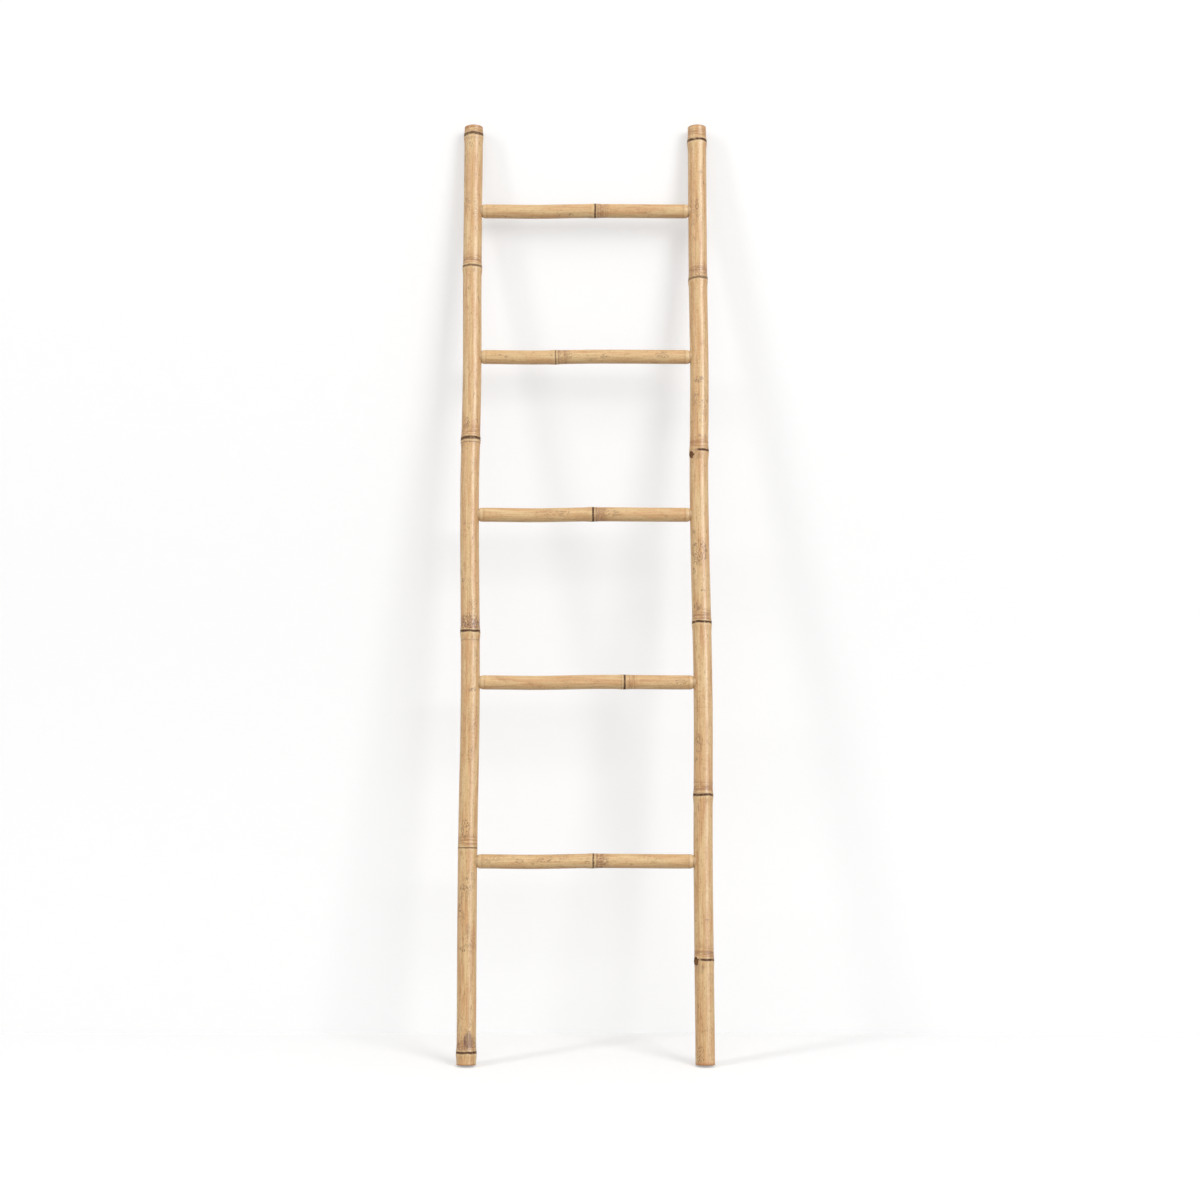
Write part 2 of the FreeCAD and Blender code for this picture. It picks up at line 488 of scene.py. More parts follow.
    def _culm_tree(self) -> NodeTree:
        """Turn a culm, bore its holes, lay it in the ladder and give it its finishes.

        Returns:
            The tree.
        """
        tree, given = self._new_tree("bamboo culm", {
            **self.LATHE_INPUTS, "Mortise Radius": "Float", "Mortise Depth": "Float",
            "Peg Hole Radius": "Float", "Peg Hole Depth": "Float", "Bored": "Bool", "Turn": "Vector",
            "Seat": "Vector", "Lean": "Vector", "Stand": "Vector", "Skin": "Material", "Cut Face": "Material",
        })
        put = partial(add, tree)
        hole, split = self._split(tree, given["Outline"])
        sizes = {name: given[name] for name in self.LATHE_INPUTS}
        culm = put("GeometryNodeGroup", {**sizes, "Outline": split.outputs["Inverted"]}, node_tree=self.lathe)
        borers = []
        for cut, turn in ((Cut.MORTISE, (0.0, QUARTER_TURN, 0.0)), (Cut.PEG_HOLE, (QUARTER_TURN, 0.0, 0.0))):
            rod = put("MeshCylinder", {"Vertices": self.BORE_SIDES, "Radius": given[f"{cut.label} Radius"],
                                       "Depth": given[f"{cut.label} Depth"]})
            rod = put("Transform", rod, {"Rotation": turn})
            rod = put("StoreNamedAttribute", rod, {"Name": "raw", "Value": 1.0}, data_type="FLOAT",
                      domain="FACE")
            chosen = put("Math", hole, float(cut.value), 0.1, operation="COMPARE")
            rods = put("InstanceOnPoints", split.outputs["Selection"], {"Selection": chosen, "Instance": rod})
            borers.append({"Mesh 2": put("RealizeInstances", rods)})
        bored = put("MeshBoolean", culm, *borers, operation="DIFFERENCE", solver="MANIFOLD")
        body = put("Switch", given["Bored"], culm, bored, input_type="GEOMETRY")
        # The grain reads the place in the straight culm, moved along it so that no two culms are alike
        where = put("InputPosition")
        shift = put("Math", given["Seed"], PATTERN_STEP, operation="MULTIPLY")
        shift = put("CombineXYZ", {2: shift})
        grain = put("VectorMath", where, shift, operation="ADD")
        body = put("StoreNamedAttribute", body, {"Name": "culm", "Value": grain}, data_type="FLOAT_VECTOR")
        body = put("Transform", body, {"Translation": given["Seat"], "Rotation": given["Turn"]})
        body = put("Transform", body, {"Translation": given["Stand"], "Rotation": given["Lean"]})
        body = self._shade(tree, body, self.CULM_FOLD)
        body = put("RealizeInstances", body)
        body = put("SetMaterial", body, {"Material": given["Skin"]})
        raw = put("InputNamedAttribute", "raw", data_type="FLOAT")
        raw = put("Math", raw, 0.5, operation="GREATER_THAN")
        body = put("SetMaterial", body, {"Selection": raw, "Material": given["Cut Face"]})
        put("NodeGroupOutput", body)
        return tree

    def _peg_tree(self) -> NodeTree:
        """Turn one peg and set a copy of it at each point.

        Returns:
            The tree.
        """
        tree, given = self._new_tree("pegs", {
            "Outline": "Geometry", "Sides": "Int", "Seed": "Int", "Turn": "Vector", "Lean": "Vector",
            "Stand": "Vector", "Wood": "Material",
        })
        put = partial(add, tree)
        _, split = self._split(tree, given["Outline"])
        peg = put("GeometryNodeGroup", {
            "Outline": split.outputs["Inverted"], "Sides": given["Sides"], "Ovality": 0.0, "Unevenness": 0.0,
        }, node_tree=self.lathe)
        # Each peg is rolled by chance about its own axis, so that no two show the same grain
        roll = put("RandomValue", {2: 0.0, 3: math.tau, "Seed": given["Seed"]}, data_type="FLOAT")
        roll = put("CombineXYZ", {2: roll.outputs[1]})
        grain = put("InputPosition")
        peg = put("StoreNamedAttribute", peg, {"Name": "culm", "Value": grain}, data_type="FLOAT_VECTOR")
        pegs = put("InstanceOnPoints", split.outputs["Selection"],
                   {"Instance": peg, "Rotation": given["Turn"]})
        pegs = put("RotateInstances", pegs, {"Rotation": roll})
        pegs = put("RealizeInstances", pegs)
        pegs = put("Transform", pegs, {"Translation": given["Stand"], "Rotation": given["Lean"]})
        pegs = self._shade(tree, pegs, self.PEG_FOLD)
        pegs = put("SetMaterial", pegs, {"Material": given["Wood"]})
        put("NodeGroupOutput", pegs)
        return tree

    @staticmethod
    def outline(name: str, stations: list[Station], holes: list[tuple[Cut, Point]]) -> Object:
        """Lay out an outline and its hole centres as the points that a tree starts from.

        Args:
            name: the object's name.
            stations: the outline in order, in millimetres.
            holes: what each hole is for and its middle, in millimetres.

        Returns:
            The object that holds the points.
        """
        points = [(station.radius * MM, 0.0, station.place * MM) for station in stations]
        points += [tuple(value * MM for value in middle) for _, middle in holes]
        mesh = bpy.data.meshes.new(name)
        mesh.from_pydata(points, [], [])
        for label, kind in STATION_DATA.items():
            values = [getattr(station, label) for station in stations]
            kept = mesh.attributes.new(label, kind, "POINT")
            if kind == "FLOAT":
                kept.data.foreach_set("value", values + [0.0] * len(holes))
            else:
                values += [ORIGIN] * len(holes)
                kept.data.foreach_set("vector", [part for value in values for part in value])
        kept = mesh.attributes.new("hole", "FLOAT", "POINT")
        kept.data.foreach_set("value", [0.0] * len(stations) + [float(cut.value) for cut, _ in holes])
        return enter(name, mesh)

    @staticmethod
    def bake(name: str, source: Object, tree: NodeTree,
             inputs: dict[str, object]) -> Object:
        """Run a tree on its points and keep the result as a plain mesh.

        Args:
            name: the finished piece's name.
            source: the object that holds the points.
            tree: the tree to run.
            inputs: values by input name.

        Returns:
            The finished piece, at the origin.
        """
        modifier = source.modifiers.new("make", "NODES")
        modifier.node_group = tree
        sockets = {item.name: item.identifier for item in tree.interface.items_tree if item.in_out == "INPUT"}
        for label, value in inputs.items():
            modifier[sockets[label]] = value
        graph = bpy.context.evaluated_depsgraph_get()
        mesh = bpy.data.meshes.new_from_object(source.evaluated_get(graph), depsgraph=graph)
        mesh.name = name
        bpy.data.objects.remove(source)
        return enter(name, mesh)


@dataclass
class Lean:
    """How the whole ladder leans: its angle and where the foot of its middle stands."""

    angle: float = math.radians(LEAN_ANGLE)

    @property
    def turn(self) -> Point:
        """The turn about X that leans an upright piece back."""
        return -self.angle, 0.0, 0.0

    @property
    def stand(self) -> Point:
        """Work out where the upright ladder's origin goes.

        Returns:
            The place in metres.
        """
        back = POLE_LENGTH * math.sin(self.angle) / 2
        lift = (POLE_RADIUS - END_BEVEL) * math.sin(self.angle)
        return 0.0, -back * MM, lift * MM


@dataclass
class Culm:
    """A bamboo stem with node rings, turned from an outline."""

    name: str
    node: str
    radius: float
    rings: tuple[Ring, ...]
    seed: float
    sides: int = 72
    ovality: float = 0.006
    unevenness: float = 0.03
    swell: float = 1.35
    reach_above: float = 13.0
    reach_below: float = 19.0
    lip_level: float = 0.87
    lip_lean: float = 0.13
    lip_reach: float = 2.5
    scar_depth: float = 0.5
    faint_scar: float = 0.4
    scar_share: float = 0.32
    slot: str = "pole_bamboo"
    marks: tuple[Mark, ...] = ()

    def ring_gain(self, rise: float, ring: Ring) -> float:
        """Work out what a ring adds to the radius: a lip each side of a rounded groove, the lower lip higher.

        Args:
            rise: height above the ring, in millimetres.
            ring: the ring.

        Returns:
            The gain in millimetres.
        """
        lip = self.lip_level - self.lip_lean * max(-1.0, min(1.0, rise / self.lip_reach))
        reach = self.reach_above if rise > 0 else self.reach_below
        bump = self.swell * ring.swell * lip * ease(1 - abs(rise) / reach)
        depth = self.scar_depth * (self.faint_scar + (1 - self.faint_scar) * ring.dark)
        return bump - depth * math.exp(-((rise / (self.scar_share * ring.width)) ** 2))

    def places(self, start: float, end: float) -> list[float]:
        """List where the outline needs a point: close by the rings, sparse between them.

        Args:
            start: first place, in millimetres.
            end: last place, in millimetres.

        Returns:
            The places in order.
        """
        finest = RING_STEPS[0][1]
        found = [start]
        while found[-1] < end:
            here = found[-1]
            near = min(abs(here - ring.place) for ring in self.rings)
            step = next((step for reach, step in RING_STEPS if near < reach), OPEN_STEP)
            ahead = min((ring.place - here for ring in self.rings if ring.place > here), default=FAR)
            if ahead > RING_REACH:
                step = min(step, max(finest, ahead - RING_REACH))
            found.append(min(end, here + step))
        return found

    def skin_station(self, place: float, drift: float, shoulder: float = 0.0) -> Station:
        """Make a point of the skin, with the nearest ring's marks.

        Args:
            place: distance along the culm, in millimetres.
            drift: the sideways offset there.
            shoulder: how much the skin is rounded off for a joint, from 0 to 1.

        Returns:
            The station.
        """
        ring = min(self.rings, key=lambda each: abs(place - each.place))
        rise = place - ring.place
        near = ease(2.0 - abs(rise) / RING_REACH)
        bud_turn = math.radians(ring.bud_turn)
        return Station(
            self.radius + self.ring_gain(rise, ring), place,
            ring=(rise, ring.dark * near, ring.width),
            line=(ring.second, ring.second_dark * near, ring.stain * near),
            sway=(ring.tilt * near * MM, 0.0, drift * MM),
            bud=(self.radius * math.cos(bud_turn), self.radius * math.sin(bud_turn),
                 ring.bud_rise / BUD_STRETCH),
            bud_size=ring.bud if abs(rise) < BUD_REACH else 0.0,
            shoulder=shoulder,
        )

    def make(self, shop: Workshop, stations: list[Station], holes: list[tuple[Cut, Point]],
             inputs: dict[str, object]) -> Object:
        """Turn the culm from its outline and dress it.

        Args:
            shop: the trees.
            stations: the outline in order.
            holes: what is bored into it, and where.
            inputs: the tree's other inputs by name.

        Returns:
            The finished piece.
        """
        source = shop.outline(f"{self.name}_outline", stations, holes)
        return self.dress(shop.bake(self.name, source, shop.culm, {
            "Sides": self.sides, "Ovality": self.ovality, "Unevenness": self.unevenness, "Seed": self.seed,
            **inputs,
        }))

    def dress(self, piece: Object) -> Object:
        """Let the piece stand for its solid and ride with the ladder.

        Args:
            piece: the turned culm.

        Returns:
            The same piece.
        """
        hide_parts(self.node)
        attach(piece, "root")
        LOG.info("%s: %d faces", piece.name, len(piece.data.polygons))
        return piece


@dataclass
class Pole(Culm):
    """A thick culm that stands upright in the ladder, open at both ends down to its first septum."""

    side: Side = Side.LEFT
    wall: float = POLE_WALL
    septum: float = 5.0
    septum_dome: float = 0.5
    hollow_rounding: float = 3.0
    # The sawn edges, by distance in from the skin or out from the hollow, and depth below the cut
    outer_edge: tuple[tuple[float, float], ...] = ((0.12, 0.45), (0.4, 0.14), (END_BEVEL, 0.0), (3.0, 0.0))
    inner_edge: tuple[tuple[float, float], ...] = ((2.0, 0.0), (0.4, 0.0), (0.1, 0.12), (0.0, 0.5))
    # A warm brown band on the last millimetres of skin at each end: painted shade and warm bounce light, as
    # in the wedge under a lifted foot
    rim: float = 3.0
    rim_tone: float = 0.85
    mortise_spare: float = 1.0
    drill_spare: float = 4.0
    clearance: float = 0.1
    peg_radius: float = 2.55
    peg_tip: float = -14.8

    def end_stations(self, end: float, way: int) -> list[Station]:
        """List the points from an end's outer edge over the cut face and down its hollow.

        Args:
            end: the place of the cut.
            way: 1 where the culm goes up from the cut, and -1 where it goes down.

        Returns:
            The stations, from the skin inwards.
        """
        ring = min(self.rings, key=lambda each: abs(each.place - end))
        outer = self.radius + self.ring_gain(end - ring.place, ring)
        inner = self.radius - self.wall
        depth = abs(ring.place - end) - self.septum / 2
        rounding = self.hollow_rounding
        path = [(outer - inset, step) for inset, step in self.outer_edge]
        path += [(inner + inset, step) for inset, step in self.inner_edge]
        steps = [depth * share for share in (0.2, 0.5, 0.8)]
        path += [(inner, step) for step in steps if 1 < step < depth - rounding - 1]
        # The middle of the rounding lies about 0.3 of its radius in from either end
        path += [(inner, depth - rounding), (inner - 0.3 * rounding, depth - 0.3 * rounding),
                 (inner - rounding, depth)]
        path += [(inner * 0.4, depth + 0.6 * self.septum_dome), (0.0, depth + self.septum_dome)]
        sway = (0.0, 0.0, drift_at(end, POLE_DRIFT) * MM)
        return [Station(radius, end + way * step, sway=sway, cut=1.0) for radius, step in path]

    def build(self, shop: Workshop, shared: dict[str, object]) -> Object:
        """Turn, bore and lean the pole.

        Args:
            shop: the trees.
            shared: the tree's inputs for the lean and the finishes.

        Returns:
            The finished piece.
        """
        stations = list(reversed(self.end_stations(0.0, 1)))
        for place in self.places(END_BEVEL, POLE_LENGTH - END_BEVEL):
            station = self.skin_station(place, drift_at(place, POLE_DRIFT))
            # Near each end the skin is marked for the band of painted shade and warm bounce light
            from_end = min(place, POLE_LENGTH - place) - END_BEVEL
            station.cut = self.rim_tone * ease(1 - from_end / self.rim)
            stations.append(station)
        stations += self.end_stations(POLE_LENGTH, -1)
        sign = self.side.value
        deep = POLE_SIDE + TENON_REACH + self.mortise_spare - POLE_SPACING / 2
        behind = self.radius + self.drill_spare
        holes = []
        for height in RUNG_HEIGHTS:
            drift = drift_at(height, POLE_DRIFT)
            holes.append((Cut.MORTISE, (sign * (deep - behind) / 2 + drift, 0.0, height)))
            holes.append((Cut.PEG_HOLE, (drift, (behind + self.peg_tip) / 2, height)))
        return self.make(shop, stations, holes, {
            "Bored": True, "Turn": ORIGIN, "Seat": (sign * POLE_SPACING / 2 * MM, 0.0, 0.0),
            "Mortise Radius": (TENON_RADIUS + self.clearance) * MM, "Mortise Depth": (deep + behind) * MM,
            "Peg Hole Radius": self.peg_radius * MM, "Peg Hole Depth": (behind - self.peg_tip) * MM, **shared,
        })


@dataclass
class Rung(Culm):
    """A thinner culm that lies across the ladder, with a rounded shoulder and a tenon at each end."""

    height: float = 0.0
    shoulder_root: float = POLE_SIDE - 1.3
    shoulder_length: float = 5.5
    shoulder_shares: tuple[float, ...] = (0.9, 0.8, 0.7, 0.6, 0.5, 0.4, 0.3, 0.2, 0.12, 0.06, 0.02, 0.0)
    neck_share: float = 0.1
    neck_steps: tuple[float, ...] = (0.6, 4.0)
    wear_reach: float = 7.0
    tenon_bevel: float = 1.0
    tip_inset: float = 4.0
    bends: tuple[tuple[float, float], ...] = ((-102.0, -0.9), (28.0, 0.9))

    def end_stations(self, way: int) -> list[Station]:
        """List the points of one end, from the body out over the shoulder to the tenon's tip.

        Args:
            way: 1 for the right end and -1 for the left.

        Returns:
            The stations, from the body outwards.
        """
        growth = self.radius - TENON_RADIUS
        root, tip = self.shoulder_root, POLE_SIDE + TENON_REACH
        stations = []
        for share in self.shoulder_shares:
            wear = Wear.SHOULDER if share > self.neck_share else Wear.NECK
            radius = TENON_RADIUS + growth * math.sqrt(1 - (1 - share) ** 2)
            stations.append(Station(radius, way * (root - self.shoulder_length * share), shoulder=wear.value))
        for place in (*(root + step for step in self.neck_steps), tip - self.tenon_bevel):
            stations.append(Station(TENON_RADIUS, way * place, shoulder=Wear.TENON.value))
        for inset in (self.tenon_bevel, self.tip_inset, TENON_RADIUS):
            stations.append(Station(TENON_RADIUS - inset, way * tip, cut=1.0))
        return stations

    def build(self, shop: Workshop, shared: dict[str, object]) -> Object:
        """Turn the rung and lay it across the ladder.

        Args:
            shop: the trees.
            shared: the tree's inputs for the lean and the finishes.

        Returns:
            The finished piece.
        """
        end = self.shoulder_root - self.shoulder_length
        bends = ((-end, 0.0), *self.bends, (end, 0.0))
        stations = list(reversed(self.end_stations(-1)))
        for place in self.places(-end, end):
            worn = ease(1 - (end - abs(place)) / self.wear_reach)
            # Laid on its side, the outline's sideways offset points down
            stations.append(self.skin_station(place, -drift_at(place, bends), worn))
        stations += self.end_stations(1)
        return self.make(shop, stations, [], {
            "Bored": False, "Turn": (0.0, QUARTER_TURN, 0.0),
            "Seat": (drift_at(self.height, POLE_DRIFT) * MM, 0.0, self.height * MM), **shared,
        })


@dataclass
class Pegs:
    """Ten turned pegs, one through each tenon, with crowned heads that stand out behind the poles."""

    name: str = "pegs"
    radius: float = 2.5
    tip: float = -14.5
    shank_end: float = POLE_RADIUS - 2.0
    head: float = POLE_RADIUS + 1.5
    bevel: float = 0.6
    # The crown of the head, by distance in from the side and down from the top
    crown: tuple[tuple[float, float], ...] = ((0.0, 0.75), (0.12, 0.5), (0.4, 0.27), (1.0, 0.1), (1.75, 0.03))
    sides: int = 28
    seed: int = 7

    def build(self, shop: Workshop, shared: dict[str, object]) -> Object:
        """Turn one peg and set it in every joint.

        Args:
            shop: the trees.
            shared: the tree's inputs for the lean and the finish.

        Returns:
            The finished piece.
        """
        path = [(0.0, self.tip), (self.radius - self.bevel, self.tip), (self.radius, self.tip + self.bevel),
                (self.radius, self.shank_end)]
        path += [(self.radius - inset, self.head - down) for inset, down in self.crown]
        path.append((0.0, self.head))
        holes = []
        for side in Side:
            for height in RUNG_HEIGHTS:
                across = side.value * POLE_SPACING / 2 + drift_at(height, POLE_DRIFT)
                holes.append((Cut.PEG_HOLE, (across, 0.0, height)))
        source = shop.outline("peg_outline", [Station(radius, place) for radius, place in path], holes)
        return self.dress(shop.bake(self.name, source, shop.peg, {
            "Sides": self.sides, "Seed": self.seed, "Turn": (-QUARTER_TURN, 0.0, 0.0), **shared,
        }))

    def dress(self, piece: Object) -> Object:
        """Let the piece stand for the ten pegs and ride with the ladder.

        Args:
            piece: the turned pegs.

        Returns:
            The same piece.
        """
        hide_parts(*(f"{word}_peg_{number}" for word in ("left", "right") for number in range(1, 6)))
        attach(piece, "root")
        LOG.info("%s: %d faces", piece.name, len(piece.data.polygons))
        return piece


@dataclass(frozen=True)
class BambooSkin:
    """Dried bamboo culm with its natural skin: straw to tan, streaked lengthwise, with a satin gloss."""

    name: str
    radius: float
    pale: str = "#e2be89"
    warm: str = "#d6a671"
    deep: str = "#ad7a49"
    light: str = "#e8cc98"
    blotch: str = "#a3703f"
    speck: str = "#7a5231"
    scar: str = "#5f4436"
    stain: str = "#75503f"
    bare: str = "#ecd2a2"
    # Painted shade and warm bounce light: the colour of the band at each sawn end, as in the wedge under a
    # lifted foot
    sawn: str = "#bd7443"
    mottle: float = 1.0
    waver: float = 1.1
    roughness: float = 0.44
    wax: float = 0.5
    wax_roughness: float = 0.42
    dry_sheen: float = 0.1
    dry_roughness: float = 0.35
    relief: float = 0.3
    streak_relief: float = 0.8
    dry_relief: float = -0.7

    @staticmethod
    def grains(tree: NodeTree, spot: Node) -> dict[str, Node]:
        """Draw the patterns that follow the grain.

        Args:
            tree: the finish's tree.
            spot: the node that gives the place in the culm.

        Returns:
            The patterns by name.
        """
        # Each pattern's grain in millimetres, across the culm and along it, and its octaves. The fibres of
        # bamboo are about 0.4 mm wide, and are drawn three times as wide so that they show
        sizes = {
            "tone": (9, 80, 3), "streak": (3, 110, 3), "fibre": (1.3, 45, 2), "blotch": (6, 16, 4),
            "patch": (36, 75, 2), "worm": (6, 14, 1), "wobble": (13, 13, 2), "ragged": (4, 3, 3),
            "crease": (26, 2.4, 3), "speckle": (3, 4, 3),
        }
        noise = {}
        for label, (across, along, octaves) in sizes.items():
            scaled = add(tree, "VectorMath", spot, (1 / across, 1 / across, 1 / along), operation="MULTIPLY")
            noise[label] = add(tree, "TexNoise", {
                "Vector": scaled, "Scale": 1.0, "Detail": float(octaves), "Roughness": 0.55})
        return noise

    def placed(self, tree: NodeTree, spot: Node,
               culms: tuple[Culm, ...]) -> dict[Trace, Node]:
        """Place the marks of each culm, as ellipses on the skin that fade towards their edges.

        Args:
            tree: the finish's tree.
            spot: the node that gives the place in the culm.
            culms: the culms that wear the finish.

        Returns:
            For each kind of mark that there is, the node that gives its strength.
        """
        put = partial(add, tree)
        found: dict[Trace, Node] = {}
        for culm in culms:
            for mark in culm.marks:
                turn = math.radians(mark.turn)
                middle = (self.radius * math.cos(turn), self.radius * math.sin(turn),
                          mark.place + culm.seed * PATTERN_STEP / MM)
                reach = (mark.width / 2, mark.width / 2, mark.length / 2)
                away = put("Mapping", {"Vector": spot, "Location": middle, "Scale": reach},
                           vector_type="TEXTURE")
                inner = put("TexGradient", away, gradient_type="SPHERICAL").outputs["Fac"]
                inner = put("MapRange", inner, 0.0, mark.fade, 0.0, mark.dark,
                            interpolation_type="SMOOTHSTEP")
                if mark.trace in found:
                    inner = put("Math", found[mark.trace], inner, operation="MAXIMUM")
                found[mark.trace] = inner
        return found

    def masks(self, tree: NodeTree, spot: Node, noise: dict[str, Node],
              placed: dict[Trace, Node]) -> dict[str, Node]:
        """Work out where each colour shows.

        Args:
            tree: the finish's tree.
            spot: the node that gives the place in the culm.
            noise: the patterns by name.
            placed: the placed marks by kind.

        Returns:
            The masks by name.
        """
        put = partial(add, tree)
        told = {label: put("Attribute", attribute_name=label).outputs
                for label in ("ring", "line", "bud", "shoulder", "cut")}
        ring = put("SeparateXYZ", told["ring"]["Vector"]).outputs
        line = put("SeparateXYZ", told["line"]["Vector"]).outputs
        shoulder = told["shoulder"]["Fac"]
        # Rings waver by about a millimetre as they go round
        waver = put("MapRange", noise["wobble"], 0.25, 0.75, -self.waver, self.waver)
        rise = put("Math", ring["X"], waver, operation="ADD")
        near = put("Math", rise, operation="ABSOLUTE")
        edge = put("Math", near, ring["Z"], operation="DIVIDE")
        second = put("Math", rise, line["X"], operation="SUBTRACT")
        second = put("Math", second, operation="ABSOLUTE")
        ridge = put("Math", noise["worm"], 5.0, operation="MULTIPLY")
        ridge = put("Math", ridge, 0.5, operation="PINGPONG")
        # Fleck cells of 6 mm by 26 mm, of which a few hold a short dark dash
        cell = put("VectorMath", spot, (1 / 6, 1 / 6, 1 / 26), operation="MULTIPLY")
        cell = put("TexVoronoi", {"Vector": cell, "Scale": 1.0})
        chance = put("SeparateColor", cell.outputs["Color"])
        # Bud scars have a bitten edge
        bitten = put("MapRange", noise["speckle"], 0.3, 0.7, -1.6, 1.0)
        bitten = put("Math", told["bud"]["Fac"], bitten, operation="ADD")
        # What each mask reads, where it starts and is full, how strong it gets and, if not 0, how weak
        reads = {
            "tone": (noise["tone"], 0.38, 0.62, 1.0),
            "dark_streak": (noise["streak"], 0.5, 0.72, 0.5 * self.mottle),
            "pale_streak": (noise["streak"], 0.5, 0.3, 0.5 * self.mottle),
            "dark_fibre": (noise["fibre"], 0.5, 0.7, 0.35),
            "pale_fibre": (noise["fibre"], 0.5, 0.32, 0.25),
            "dark_grain": (noise["speckle"], 0.52, 0.7, 0.3 * self.mottle),
            "pale_grain": (noise["speckle"], 0.47, 0.3, 0.3 * self.mottle),
            "blotch": (noise["blotch"], 0.55, 0.72, 0.45 * self.mottle),
            "patch": (noise["patch"], 0.6, 0.68, 0.6),
            "worm": (ridge, 0.3, 0.06, 0.7 * self.mottle),
            "fleck": (cell, 0.2, 0.07, 0.65),
            "few": (chance, 0.78, 0.8, 1.0),
            "ragged": (noise["ragged"], 0.3, 0.5, 1.0, 0.64),
            "strand": (noise["fibre"], 0.42, 0.58, 1.0, 0.3),
            "scar": (edge, 1.0, 0.4, 1.0),
            "lip": (near, 9.0, 2.5, 0.35),
            "second": (second, 2.0, 0.5, 1.0),
            "above": (rise, 2.0, 6.0, 1.0),
            "below_reach": (rise, 34.0, 12.0, 1.0),
            "haze": (noise["crease"], 0.36, 0.6, 0.9 * self.mottle),
            "stain": (noise["speckle"], 0.42, 0.58, 1.0),
            "bud_rim": (bitten, 0.7, 1.8, 0.95),
            "bud_heart": (bitten, 2.8, 4.4, 0.45),
            "collar": (shoulder, 0.2, 0.65, 0.25),
            "bare": (shoulder, 0.75, 0.99, 0.45),
            # Painted shade where a rung's end goes into its pole
            "joint_shade": (shoulder, 1.1, 1.9, 0.35),
            # The rim mask places the band of painted shade and warm bounce light at each sawn end
            "rim": (told["cut"]["Fac"], 0.15, 0.9, 0.75),
        }
        mask = {}
        for label, (source, start, full, most, *least) in reads.items():
            mask[label] = put("MapRange", source, start, full, *(least or (0.0,)), most,
                              interpolation_type="SMOOTHSTEP")
        dark = ring["Y"]
        if Trace.SMUDGE in placed:
            mask["marked"] = placed[Trace.SMUDGE]
        if Trace.SCRIBBLE in placed:
            mask["patch"] = put("Math", mask["patch"], placed[Trace.SCRIBBLE], operation="MAXIMUM")
        if Trace.SCAR in placed:
            dark = put("Math", dark, placed[Trace.SCAR], operation="MAXIMUM")
        # What else each mask is held to
        limits = {
            "worm": ("patch",), "fleck": ("few",), "scar": (dark, "ragged"), "lip": (ring["Y"],),
            "second": (line["Y"], "ragged"), "haze": ("above", "below_reach"),
            "stain": ("above", "below_reach", line["Z"]), "marked": ("ragged", "strand"),
        }
        for label in [each for each in limits if each in mask]:
            for limit in limits[label]:
                limit = mask[limit] if isinstance(limit, str) else limit
                mask[label] = put("Math", mask[label], limit, operation="MULTIPLY")
        return mask

    def material(self, culms: tuple[Culm, ...]) -> Material:
        """Build the finish, with the marks of each culm that wears it.

        Args:
            culms: the culms, whose seeds tell where along the grain each one's pattern lies.

        Returns:
            The material.
        """
        made, tree, spot = start_finish(self.name)
        put = partial(add, tree)
        noise = self.grains(tree, spot)
        mask = self.masks(tree, spot, noise, self.placed(tree, spot, culms))
        coats = (
            ("tone", self.pale), ("dark_streak", self.deep), ("pale_streak", self.light),
            ("dark_fibre", self.deep), ("pale_fibre", self.light), ("dark_grain", self.deep),
            ("pale_grain", self.light), ("blotch", self.blotch), ("worm", self.speck), ("fleck", self.speck),
            ("lip", self.light),
            # The last coat on the next line is painted shade where a rung goes into its pole
            ("haze", self.deep), ("collar", self.deep), ("bare", self.bare), ("joint_shade", self.speck),
            # The rim coat on the next line is painted shade with warm bounce light at each sawn end
            ("rim", self.sawn), ("stain", self.stain), ("second", self.stain), ("marked", self.stain),
            ("scar", self.scar), ("bud_rim", self.scar), ("bud_heart", self.blotch),
        )
        shown = [(mask[label], paint) for label, paint in coats if label in mask]
        colour = lay_coats(tree, self.warm, *shown)
        # Scars and buds are dry and matt, the skin between them keeps its wax
        dry = put("Math", mask["scar"], mask["bud_rim"], operation="MAXIMUM")
        sheen = put("MapRange", dry, 0.0, 1.0, self.wax, self.dry_sheen)
        coat = put("MapRange", dry, 0.0, 1.0, self.wax / 2, 0.0)
        gloss = put("MapRange", noise["fibre"], 0.3, 0.7, self.roughness - 0.05, self.roughness + 0.07)
        gloss = put("Math", dry, self.dry_roughness, gloss, operation="MULTIPLY_ADD")
        height = put("Math", noise["streak"], self.streak_relief, noise["fibre"], operation="MULTIPLY_ADD")
        height = put("Math", dry, self.dry_relief, height, operation="MULTIPLY_ADD")
        bump = put("Bump", {"Strength": self.relief, "Distance": 0.3 * MM, "Height": height})
        feed(tree, tree.nodes["Principled BSDF"], {
            "Base Color": colour, "Roughness": gloss, "IOR": WOOD_IOR, "Specular IOR Level": sheen,
            "Coat Weight": coat, "Coat Roughness": self.wax_roughness, "Normal": bump,
        })
        return made


